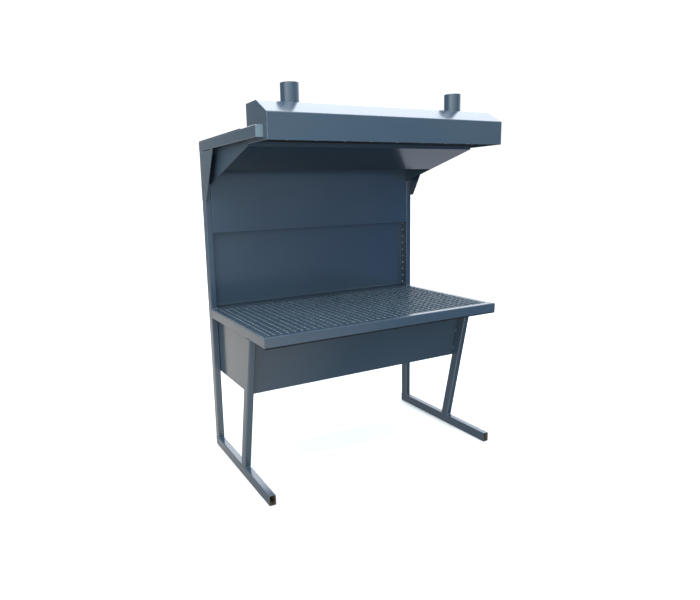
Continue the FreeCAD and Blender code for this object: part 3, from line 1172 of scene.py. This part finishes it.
@dataclass
class Hood:
    """Hood box with its bent shell and two duct spigots."""

    gauge: float = 0.002
    bend: float = 0.004
    spigot_wall: float = 0.002
    spigot_edge: float = 0.0005
    spigot_steps: int = 72
    cutter_depth: float = 0.05
    recess: float = 0.016

    def bottom(self) -> Piece:
        """Folds the bottom sheet, which sits a little way up inside the shell.

        Returns:
            The bottom sheet.
        """
        low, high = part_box("hood_bottom")
        outline = [
            Vector((low.x, low.y, low.z)),
            Vector((low.x, low.y, low.z + self.recess)),
            Vector((low.x, high.y, low.z + self.recess)),
        ]
        span = Vector((high.x - low.x, 0.0, 0.0))
        return Bench.folded_sheet("hood_bottom_tray", outline, span, -Axis.Y.vector, self.gauge, self.bend)

    def shell(self) -> Piece:
        """Bends the front, sloped and top faces from one sheet and cuts the duct holes.

        Returns:
            The shell.
        """
        node = "hood_shell"
        low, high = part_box(node)
        ridge = min(corner.y for corner in corners_of(node) if corner.z > high.z - NEAR)
        outline = [
            Vector((low.x, low.y, low.z)),
            Vector((low.x, low.y, hood_brow())),
            Vector((low.x, ridge, high.z)),
            Vector((low.x, high.y, high.z)),
        ]
        span = Vector((high.x - low.x, 0.0, 0.0))
        shell = Bench.folded_sheet("hood_bent_shell", outline, span, -Axis.Y.vector, self.gauge, self.bend)
        for side in SIDES:
            start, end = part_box(f"duct_spigot_{side}")
            Bench.clear()
            bpy.ops.mesh.primitive_cylinder_add(
                vertices=self.spigot_steps,
                radius=(end.x - start.x) / 2 - self.spigot_wall,
                depth=self.cutter_depth,
                location=((start.x + end.x) / 2, (start.y + end.y) / 2, start.z),
            )
            cutter = Bench.take("cutter")
            Bench.modify(shell, "BOOLEAN", operation="DIFFERENCE", object=cutter, solver="EXACT")
            bpy.data.objects.remove(cutter)
        return shell

    def spigot(self, side: str) -> Piece:
        """Rolls one duct spigot.

        Args:
            side: Which spigot.

        Returns:
            The spigot.
        """
        low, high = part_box(f"duct_spigot_{side}")
        Bench.clear()
        bpy.ops.mesh.primitive_cylinder_add(
            vertices=self.spigot_steps,
            radius=(high.x - low.x) / 2,
            depth=high.z - low.z,
            end_fill_type="NOTHING",
            location=(low + high) / 2,
        )
        piece = Bench.take(f"rolled_spigot_{side}")
        Bench.modify(piece, "SOLIDIFY", thickness=self.spigot_wall, offset=-1.0, use_even_offset=True)
        Bench.soften(piece, self.spigot_edge)
        Bench.close(piece)
        return piece

    def build(self, sheet: Finish, duct: Finish, underside: Finish) -> None:
        """Builds and dresses the shell, its bottom and the spigots.

        Args:
            sheet: Finish of the shell.
            duct: Finish of the spigots.
            underside: Finish of the bottom, near-black as painted shade.
        """
        dress(self.shell(), sheet, Slot.SHEET, "hood_shell")
        dress(self.bottom(), underside, Slot.SHEET, "hood_bottom")
        for side in SIDES:
            dress(self.spigot(side), duct, Slot.DUCT, f"duct_spigot_{side}")


@dataclass
class Rivets:
    """Blind rivets with the stub of their pulled pins."""

    rim: float = 0.0006
    pin_radius: float = 0.0014
    pin_depth: float = 0.0005
    steps: int = 20
    crown_steps: int = 3

    def head(self, radius: float, height: float) -> Piece:
        """Models one rivet head on the origin, standing along Z.

        Args:
            radius: Radius of the head.
            height: Height of the head.

        Returns:
            The head.
        """
        Bench.clear()
        bpy.ops.mesh.primitive_cylinder_add(
            vertices=self.steps, radius=radius, depth=height, location=(0.0, 0.0, height / 2)
        )
        piece = Bench.take("rivet_head")
        Bench.edit(piece)
        Bench.pick(piece, Element.EDGE, lambda a, b: min(a.z, b.z) > height - NEAR)
        bpy.ops.mesh.bevel(offset=height - self.rim, segments=self.crown_steps, affect="EDGES")
        Bench.pick(piece, Element.FACE, lambda at, normal: normal.z > UPWARD)
        crown = radius - (height - self.rim)
        bpy.ops.mesh.inset(thickness=crown - self.pin_radius, depth=0.0)
        bpy.ops.mesh.extrude_region_move(TRANSFORM_OT_translate={"value": (0.0, 0.0, -self.pin_depth)})
        Bench.close(piece)
        return piece

    @staticmethod
    def spots(node: str) -> list[tuple[Vector, Vector]]:
        """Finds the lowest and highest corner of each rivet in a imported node.

        Args:
            node: Name of the node.

        Returns:
            One pair of corners for each rivet.
        """
        mesh = bmesh.new()
        mesh.from_mesh(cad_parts[node].data)
        bmesh.ops.remove_doubles(mesh, verts=mesh.verts, dist=NEAR)
        found = []
        left = set(mesh.verts)
        while left:
            island, front = set(), [next(iter(left))]
            while front:
                corner = front.pop()
                if corner in island:
                    continue
                island.add(corner)
                front.extend(edge.other_vert(corner) for edge in corner.link_edges)
            left -= island
            places = [corner.co for corner in island]
            low = Vector(min(place[index] for place in places) for index in range(3))
            high = Vector(max(place[index] for place in places) for index in range(3))
            found.append((low, high))
        mesh.free()
        return sorted(found, key=lambda pair: tuple(pair[0]))

    def row(self, node: str, axis: Axis, material: Finish) -> None:
        """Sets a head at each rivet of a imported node.

        Args:
            node: Name of the node.
            axis: Direction that the rivets stand along.
            material: Their finish.
        """
        spots = self.spots(node)
        size = spots[0][1] - spots[0][0]
        across = max(size) / 2
        head = self.head(across, size[axis.value])
        heads = []
        for low, high in spots:
            middle = (low + high) / 2
            away = -math.copysign(1.0, middle.x) if axis is Axis.X else 1.0
            direction = axis.vector * away
            seat = middle - direction * size[axis.value] / 2
            turn = Axis.Z.vector.rotation_difference(direction).to_matrix().to_4x4()
            heads.append(Bench.copy(head, Matrix.Translation(seat) @ turn))
        bpy.data.objects.remove(head)
        dress(Bench.join(heads, f"{node}_heads"), material, Slot.RIVET, node)

    def build(self, material: Finish) -> None:
        """Builds and dresses the three groups of rivets.

        Args:
            material: Their finish.
        """
        self.row("back_panel_rivets", Axis.X, material)
        self.row("roof_rivets", Axis.Z, material)
        self.row("outlet_rivets", Axis.Y, material)


@dataclass(frozen=True)
class Seam:
    """A straight weld and how heavy it is."""

    start: Vector
    end: Vector
    weight: float = 1.0


@dataclass
class Welds:
    """Painted weld beads where the frame and sheets meet."""

    width: float = 0.0034
    pitch: float = 0.0026
    overlap: float = 2.0
    roughness: float = 0.0004
    evenness: float = 0.5
    stitch: float = 0.030
    joint_weight: float = 1.9
    joint_inset: float = 0.006
    gusset_shares: tuple[float, ...] = (0.12, 0.37, 0.62)
    front_tack: float = 0.010
    rear_tack_share: float = 0.2
    hopper_stitch: float = 0.021
    hopper_shares: tuple[float, ...] = (0.12, 0.48, 0.84)
    hood_inset: float = 0.004
    hood_setback: float = 0.001
    hood_tacks: int = 5
    hood_tack_pitch: float = 0.1635
    hood_tack_shift: float = 0.02
    side_seeds: int = 100
    hood_seeds: int = 50

    def bead(self) -> Piece:
        """Models one scale of a weld, lying along X.

        Returns:
            The scale.
        """
        Bench.clear()
        scale = (self.pitch * self.overlap, self.width, self.width)
        bpy.ops.mesh.primitive_ico_sphere_add(subdivisions=2, radius=0.5, scale=scale)
        return Bench.take("bead")

    def run(self, bead: Piece, seam: Seam, seed: int) -> Piece:
        """Lays scales along a line.

        Args:
            bead: The scale that is repeated.
            seam: Where the weld runs.
            seed: Seed of its unevenness.

        Returns:
            The weld.
        """
        line = seam.end - seam.start
        piece = Bench.copy(bead, Matrix.Scale(seam.weight, 4))
        count = max(2, round(line.length / (self.pitch * seam.weight)))
        Bench.clear()
        piece.select_set(True)
        bpy.context.view_layer.objects.active = piece
        Bench.modify(
            piece,
            "ARRAY",
            count=count,
            use_relative_offset=False,
            use_constant_offset=True,
            constant_offset_displace=(line.length / (count - 1), 0.0, 0.0),
        )
        turn = Axis.X.vector.rotation_difference(line).to_matrix().to_4x4()
        piece.data.transform(Matrix.Translation(seam.start) @ turn)
        Bench.edit(piece)
        bpy.ops.mesh.select_all(action="SELECT")
        bpy.ops.transform.vertex_random(offset=self.roughness, uniform=self.evenness, seed=seed)
        bpy.ops.object.mode_set(mode="OBJECT")
        return piece

    def runs(self, bead: Piece, seams: Iterable[Seam], seed: int) -> list[Piece]:
        """Lays one weld along each seam, with seeds that count up."""
        return [self.run(bead, seam, seed + index) for index, seam in enumerate(seams)]

    @staticmethod
    def gather(runs: Sequence[Piece], name: str, paint: Finish, slot: Slot) -> None:
        """Joins welds into one piece and dresses it.

        Args:
            runs: The welds.
            name: Name of the piece.
            paint: Its finish.
            slot: The record's slot of that finish.
        """
        welds = Bench.join(runs, name)
        Bench.close(welds)
        dress(welds, paint, slot)

    def lines(self, side: str, sign: int) -> list[Seam]:
        """Works out where one side frame is welded.

        Args:
            side: Which frame.
            sign: Its side of the middle.

        Returns:
            The welds.
        """
        upright_low, upright_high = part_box(f"upright_{side}")
        leg_low, leg_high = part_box(f"front_leg_{side}")
        arm_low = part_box(f"roof_arm_{side}")[0]
        gusset_low, gusset_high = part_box(f"arm_gusset_{side}")
        rail_low, rail_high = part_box(f"table_rail_{side}")
        depth = upright_high.y - upright_low.y
        left, right = upright_low.x + self.joint_inset, upright_high.x - self.joint_inset
        outer = upright_low.x if sign < 0 else upright_high.x
        inner = upright_high.x if sign < 0 else upright_low.x

        def crosswise(y: float, z: float) -> Seam:
            """A weld along X at a place."""
            return Seam(Vector((left, y, z)), Vector((right, y, z)), self.joint_weight)

        found = [
            crosswise(upright_low.y, upright_low.z),
            crosswise(leg_high.y, leg_low.z),
            crosswise(leg_high.y - depth, leg_low.z),
            crosswise(leg_low.y, leg_high.z),
            crosswise(leg_low.y + depth, leg_high.z),
            crosswise(upright_low.y, rail_high.z),
            crosswise(upright_low.y, rail_low.z),
        ]
        gusset_height = gusset_high.z - gusset_low.z
        for share in self.gusset_shares:
            start = Vector((outer, upright_low.y, gusset_low.z + gusset_height * share))
            found.append(Seam(start, start + Axis.Z.vector * self.stitch))
        front = Vector((outer, gusset_low.y + self.stitch, arm_low.z))
        found.append(Seam(front, front + Axis.Y.vector * self.front_tack))
        rear = Vector((outer, upright_low.y + depth * self.rear_tack_share, arm_low.z))
        found.append(Seam(rear, rear + Axis.Y.vector * self.stitch))
        found += self.hopper_stitches(leg_low, leg_high, depth, inner)
        return found

    def hopper_stitches(self, leg_low: Vector, leg_high: Vector, depth: float, inner: float) -> list[Seam]:
        """Works out the short welds between a leg and the hopper's front.

        Args:
            leg_low: Lowest corner of the leg.
            leg_high: Highest corner of the leg.
            depth: Deep side of the leg's tube.
            inner: Place of the leg's inner face.

        Returns:
            The welds.
        """
        hopper_low, hopper_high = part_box("hopper_front")
        lean = (leg_low.y + depth - leg_high.y) / (leg_high.z - leg_low.z)

        def spot(z: float) -> Vector:
            """A place on the leg's rear edge at a height."""
            return Vector((inner, leg_high.y + lean * (z - leg_low.z), z))

        heights = [hopper_low.z + (hopper_high.z - hopper_low.z) * share for share in self.hopper_shares]
        return [Seam(spot(height), spot(height + self.hopper_stitch)) for height in heights]

    def hood_lines(self, sign: int) -> list[Seam]:
        """Works out the corner welds of the hood box.

        Args:
            sign: Side of the middle.

        Returns:
            The welds.
        """
        low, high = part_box("hood_shell")
        edge = low.x if sign < 0 else high.x
        front = low.y + self.hood_setback
        foot = Vector((edge, front, low.z + self.hood_inset))
        found = [Seam(foot, Vector((edge, front, hood_brow() - self.hood_inset)))]
        tack = Axis.X.vector * self.pitch
        for index in range(self.hood_tacks):
            along = sign * (index + self.hood_tack_shift) * self.hood_tack_pitch
            middle = Vector((along, front, low.z))
            found.append(Seam(middle - tack, middle + tack))
        return found

    def ring(self, bead: Piece, side: str) -> Piece:
        """Lays scales round the foot of a duct spigot.

        Args:
            bead: The scale that is repeated.
            side: Which spigot.

        Returns:
            The round weld.
        """
        low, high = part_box(f"duct_spigot_{side}")
        radius = (high.x - low.x) / 2
        middle = Vector(((low.x + high.x) / 2, (low.y + high.y) / 2, low.z))
        count = round(2 * math.pi * radius / self.pitch)
        start = Matrix.Translation(middle + Axis.X.vector * radius) @ Matrix.Rotation(math.pi / 2, 4, "Z")
        piece = Bench.copy(bead, start)
        Bench.edit(piece)
        bpy.ops.mesh.select_all(action="SELECT")
        bpy.ops.mesh.spin(steps=count, dupli=True, angle=2 * math.pi, center=middle, axis=(0.0, 0.0, 1.0))
        bpy.ops.object.mode_set(mode="OBJECT")
        return piece

    def build(self, paint: Finish) -> None:
        """Builds and dresses the welds of each side.

        Args:
            paint: Their finish.
        """
        bead = self.bead()
        for order, (side, sign) in enumerate(SIDES.items()):
            seed = order * self.side_seeds
            runs = self.runs(bead, self.lines(side, sign), seed)
            self.gather(runs, f"frame_welds_{side}", paint, Slot.FRAME)
            runs = self.runs(bead, self.hood_lines(sign), seed + self.hood_seeds)
            runs.append(self.ring(bead, side))
            self.gather(runs, f"hood_welds_{side}", paint, Slot.SHEET)
        bpy.data.objects.remove(bead)


@dataclass
class PackedNodes:
    """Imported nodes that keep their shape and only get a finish."""

    tube_wall: float = 0.003
    frame_tubes: tuple[str, ...] = ("upright", "front_leg")
    open_tubes: tuple[str, ...] = ("foot_rail", "roof_arm")
    hopper: tuple[str, ...] = ("hopper_front", "hopper_floor", "hopper_deck", "hopper_rear")
    hood: tuple[str, ...] = ("hood_rear_panel", "hood_baffle", "hood_roof", "back_sill")
    sided_sheets: tuple[str, ...] = ("hopper_side", "hood_end")

    def build(
        self,
        frame_paint: Finish,
        sheet_paint: Finish,
        grating: Finish,
        duct: Finish,
        caps: Finish,
        cheeks: Finish,
    ) -> None:
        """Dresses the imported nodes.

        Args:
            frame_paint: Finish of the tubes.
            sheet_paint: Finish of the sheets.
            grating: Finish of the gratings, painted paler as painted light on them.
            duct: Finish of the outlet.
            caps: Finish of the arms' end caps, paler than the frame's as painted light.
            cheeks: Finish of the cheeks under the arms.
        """
        for side in SIDES:
            paint_nodes(frame_paint, (f"{name}_{side}" for name in self.frame_tubes))
            paint_nodes(sheet_paint, (f"{name}_{side}" for name in self.sided_sheets))
            for name in self.open_tubes:
                node = f"{name}_{side}"
                bore = TubeBore.of(node, Axis.Y, self.tube_wall)
                enamel = Enamel(f"enamel_{node}", bore=bore, ripple_height=TUBE_RIPPLE)
                paint_nodes(enamel.material(), [node])
            paint_nodes(grating, [f"grating_{side}"])
            paint_nodes(caps, [f"arm_cap_{side}"])
            paint_nodes(cheeks, [f"hood_cheek_{side}"])
        paint_nodes(frame_paint, (f"grating_ledge_{edge}" for edge in EDGES))
        paint_nodes(frame_paint, ["grating_bearer"])
        paint_nodes(sheet_paint, self.hopper + self.hood)
        paint_nodes(duct, ["hopper_outlet"])


# Studio


@dataclass
class PhotoCamera:
    """Camera at the photograph's viewing angle."""

    place: tuple[float, float, float] = (-1.8536, -3.0173, 1.6749)
    azimuth: float = math.radians(27.57)
    look_down: float = math.radians(10.10)
    roll: float = math.radians(-1.51)
    focal_pixels: float = 559.1
    middle_pixel: tuple[float, float] = (313.35, 292.25)
    image: tuple[float, float] = (700.0, 600.0)
    sensor: float = 36.0
    far: float = 200.0

    def build(self) -> None:
        """Sets up the camera and makes it the scene's."""
        level, drop = math.cos(self.look_down), math.sin(self.look_down)
        forward = Vector((math.sin(self.azimuth) * level, math.cos(self.azimuth) * level, -drop))
        flat_right = Vector((math.cos(self.azimuth), -math.sin(self.azimuth), 0.0))
        flat_up = flat_right.cross(forward)
        right = flat_right * math.cos(self.roll) + flat_up * math.sin(self.roll)
        up = flat_up * math.cos(self.roll) - flat_right * math.sin(self.roll)
        data = bpy.data.cameras.new("photo_camera")
        data.sensor_fit = "HORIZONTAL"
        data.sensor_width = self.sensor
        data.lens = self.sensor * self.focal_pixels / self.image[0]
        data.shift_x = (self.image[0] / 2 - self.middle_pixel[0]) / self.image[0]
        data.shift_y = (self.middle_pixel[1] - self.image[1] / 2) / self.image[0]
        data.clip_end = self.far
        camera = bpy.data.objects.new("photo_camera", data)
        turn = Matrix((right, up, -forward)).transposed().to_4x4()
        camera.matrix_world = Matrix.Translation(self.place) @ turn
        bpy.context.scene.collection.objects.link(camera)
        bpy.context.scene.camera = camera


@dataclass(frozen=True)
class SoftLight:
    """One large studio panel."""

    name: str
    place: tuple[float, float, float]
    target: tuple[float, float, float]
    size: tuple[float, float]
    power: float
    colour: tuple[float, float, float]

    def build(self) -> None:
        """Hangs the panel and turns it to its target."""
        data = bpy.data.lights.new(self.name, "AREA")
        data.shape = "RECTANGLE"
        data.size, data.size_y = self.size
        data.energy = self.power
        data.color = self.colour
        panel = bpy.data.objects.new(self.name, data)
        aim = Vector(self.target) - Vector(self.place)
        turn = aim.to_track_quat("-Z", "Y").to_matrix().to_4x4()
        panel.matrix_world = Matrix.Translation(self.place) @ turn
        panel.visible_camera = False
        bpy.context.scene.collection.objects.link(panel)


class Bearing(Enum):
    """Compass bearings round the table, as shares of a turn from its front by its left side."""

    FRONT = 0.0
    FRONT_LEFT = 0.19
    LEFT = 0.27
    LEFT_REAR = 0.385
    REAR_LEFT = 0.455
    REAR = 0.485
    REAR_RIGHT = 0.55
    RIGHT = 0.72
    FRONT_RIGHT = 0.895
    FRONT_AGAIN = 1.0


Ring = dict[Bearing, Colour]


@dataclass
class Studio:
    """Pale floor, plain backdrop, soft surroundings that pieces reflect, and two soft panels.

    A band is a range of heights, from minus one to one, over which two rings of colour blend.
    """

    floor_width: float = 900.0
    floor_drop: float = 0.0005
    strength: float = 3.2
    zenith: Colour = (0.85, 0.95, 1.05, 1.0)
    nadir: Colour = (0.03, 0.03, 0.035, 1.0)
    shade: Colour = (0.10, 0.10, 0.10, 1.0)
    backdrop: Colour = (0.345, 0.345, 0.345, 1.0)
    zenith_band: Range = (0.75, 1.0)
    high_band: Range = (0.28, 0.50)
    skyline_band: Range = (0.01, 0.085)
    horizon_band: Range = (-0.235, -0.15)
    underfoot_band: Range = (-0.56, -0.28)
    nadir_band: Range = (-0.97, -0.75)

    def high(self) -> Ring:
        """Colours of the upper surroundings.

        Returns:
            The ring of colours.
        """
        return {
            Bearing.FRONT: (0.42, 0.47, 0.49, 1.0),
            Bearing.FRONT_LEFT: (0.53, 0.59, 0.62, 1.0),
            Bearing.LEFT: (0.40, 0.45, 0.47, 1.0),
            Bearing.REAR_LEFT: (0.22, 0.24, 0.25, 1.0),
            Bearing.REAR: (1.22, 1.29, 1.37, 1.0),
            Bearing.REAR_RIGHT: (1.20, 1.26, 1.35, 1.0),
            Bearing.RIGHT: (0.50, 0.55, 0.63, 1.0),
            Bearing.FRONT_RIGHT: (0.23, 0.26, 0.27, 1.0),
        }

    def above(self) -> Ring:
        """Colours over the skyline.

        Returns:
            The ring of colours.
        """
        return {
            Bearing.FRONT: (0.30, 0.33, 0.31, 1.0),
            Bearing.FRONT_LEFT: (0.95, 1.03, 1.04, 1.0),
            Bearing.LEFT: (0.12, 0.15, 0.15, 1.0),
            Bearing.REAR_LEFT: (0.09, 0.105, 0.11, 1.0),
            Bearing.REAR: (0.50, 0.51, 0.52, 1.0),
            Bearing.REAR_RIGHT: (0.54, 0.56, 0.58, 1.0),
            Bearing.RIGHT: (0.45, 0.48, 0.53, 1.0),
            Bearing.FRONT_RIGHT: (0.08, 0.09, 0.085, 1.0),
        }

    def skyline(self) -> Ring:
        """Colours at eye height.

        Returns:
            The ring of colours.
        """
        return {
            Bearing.FRONT: (0.27, 0.30, 0.29, 1.0),
            Bearing.FRONT_LEFT: (0.25, 0.29, 0.32, 1.0),
            Bearing.LEFT: (0.20, 0.23, 0.25, 1.0),
            Bearing.REAR_LEFT: (0.09, 0.10, 0.105, 1.0),
            Bearing.REAR: (0.345, 0.345, 0.345, 1.0),
            Bearing.REAR_RIGHT: (0.30, 0.33, 0.38, 1.0),
            Bearing.RIGHT: (0.30, 0.33, 0.38, 1.0),
            Bearing.FRONT_RIGHT: (0.02, 0.05, 0.16, 1.0),
        }

    def below(self) -> Ring:
        """Colours of the ground further off.

        Returns:
            The ring of colours.
        """
        return {
            Bearing.FRONT: (0.86, 0.79, 0.66, 1.0),
            Bearing.FRONT_LEFT: (0.50, 0.48, 0.44, 1.0),
            Bearing.LEFT: (0.34, 0.33, 0.31, 1.0),
            Bearing.LEFT_REAR: (0.12, 0.115, 0.105, 1.0),
            Bearing.REAR_LEFT: (0.385, 0.365, 0.33, 1.0),
            Bearing.REAR: (0.30, 0.325, 0.37, 1.0),
            Bearing.REAR_RIGHT: (0.165, 0.19, 0.235, 1.0),
            Bearing.RIGHT: (0.09, 0.09, 0.10, 1.0),
            Bearing.FRONT_RIGHT: (0.03, 0.035, 0.045, 1.0),
        }

    def underfoot(self) -> Ring:
        """Colours of the ground close by, which is dim at the left and the rear."""
        dim = (Bearing.LEFT, Bearing.REAR_LEFT, Bearing.REAR)
        return self.below() | dict.fromkeys(dim, self.shade)

    @staticmethod
    def panels() -> list[SoftLight]:
        """The soft panels.

        Returns:
            The panel in front and the panel overhead.
        """
        front = SoftLight(
            name="front_panel",
            place=(-2.6, -4.4, 1.5),
            target=(0.0, 0.0, 1.3),
            size=(4.0, 2.0),
            power=68.0,
            colour=(0.83, 0.92, 0.97),
        )
        overhead = SoftLight(
            name="overhead_panel",
            place=(-0.8, -2.6, 4.2),
            target=(0.0, -0.1, 0.95),
            size=(3.5, 2.0),
            power=115.0,
            colour=(1.0, 0.97, 0.91),
        )
        return [front, overhead]

    def floor(self) -> None:
        """Lays the floor, which neither reflections nor soft light see."""
        Bench.clear()
        bpy.ops.mesh.primitive_plane_add(size=self.floor_width, location=(0.0, 0.0, -self.floor_drop))
        floor = Bench.take("studio_floor")
        floor.data.materials.append(PaleFloor("pale_floor").material())
        floor.visible_glossy = False
        floor.visible_diffuse = False

    @staticmethod
    def glow(board: Board, bearing: Wire, ring: Ring) -> Wire:
        """Blends the colours of a ring by compass bearing.

        Args:
            board: Board of the world.
            bearing: Share of a turn from the front.
            ring: Colours at their bearings, from the front to the front right.

        Returns:
            The blended colour.
        """
        stops = [(at.value, colour) for at, colour in ring.items()]
        stops.append((Bearing.FRONT_AGAIN.value, ring[Bearing.FRONT]))
        return board.node("ShaderNodeValToRGB", {"stops": stops}, {0: bearing})

    def surroundings(self) -> None:
        """Fills the surroundings with a soft glow that changes with bearing and height."""
        world = bpy.data.worlds.new("studio")
        world.use_nodes = True
        board = Board(world.node_tree)
        right, rear, up = board.parts(board.node("ShaderNodeTexCoord", output="Generated"))
        bearing = board.math("ARCTAN2", right, rear) / (2 * math.pi) + 0.5
        rings = (self.high(), self.above(), self.skyline(), self.below(), self.underfoot())
        high, above, skyline, below, underfoot = (self.glow(board, bearing, ring) for ring in rings)
        sky = board.mix(up.between(*self.zenith_band), high, self.zenith)
        sky = board.mix(up.between(*self.high_band), above, sky)
        sky = board.mix(up.between(*self.skyline_band), skyline, sky)
        ground = board.mix(up.between(*self.nadir_band), self.nadir, underfoot)
        ground = board.mix(up.between(*self.underfoot_band), ground, below)
        glow = board.mix(up.between(*self.horizon_band), ground, sky)
        seen = board.node("ShaderNodeLightPath", output="Is Camera Ray")
        glow = board.mix(seen, glow, self.backdrop)
        background = board.node("ShaderNodeBackground", None, {"Color": glow, "Strength": self.strength})
        board.node("ShaderNodeOutputWorld", None, {"Surface": background})
        bpy.context.scene.world = world

    def build(self) -> None:
        """Builds the whole studio."""
        self.floor()
        self.surroundings()
        for panel in self.panels():
            panel.build()
        bpy.context.scene.view_settings.view_transform = "Standard"


def main() -> None:
    """Builds the table's looks and the studio in order."""
    logging.basicConfig(level=logging.INFO, format="%(name)s %(message)s")
    frame_paint = FRAME_ENAMEL.material()
    sheet_paint = SHEET_ENAMEL.material()
    duct_paint = DUCT_ENAMEL.material()
    grating_paint = LIT_GRATING_ENAMEL.material()
    pool_highlight_paint = POOL_HIGHLIGHT_ENAMEL.material()
    cap_light_paint = CAP_HIGHLIGHT_ENAMEL.material()
    cheek_paint = CHEEK_ENAMEL.material()
    weld_paint = WELD_ENAMEL.material()
    underside_shade_paint = UNDERSIDE_SHADE_ENAMEL.material()
    PhotoCamera().build()
    PackedNodes().build(frame_paint, sheet_paint, grating_paint, duct_paint, cap_light_paint, cheek_paint)
    TableRim().build(frame_paint)
    Gussets().build(frame_paint)
    ends = EndStrips()
    for side in SIDES:
        ends.build(grating_paint, side)
        GratingPools().build(pool_highlight_paint, side, ends)
    # The near-black bead under the front rail is painted shade.
    DeckShadeBead().build(ShadeBeadFinish("black_shade_bead").material())
    BackWall().build(sheet_paint)
    Hood().build(sheet_paint, duct_paint, underside_shade_paint)
    Rivets().build(DullAluminium("rivet_aluminium").material())
    Welds().build(weld_paint)
    Studio().build()


if __name__ == "__main__":
    main()
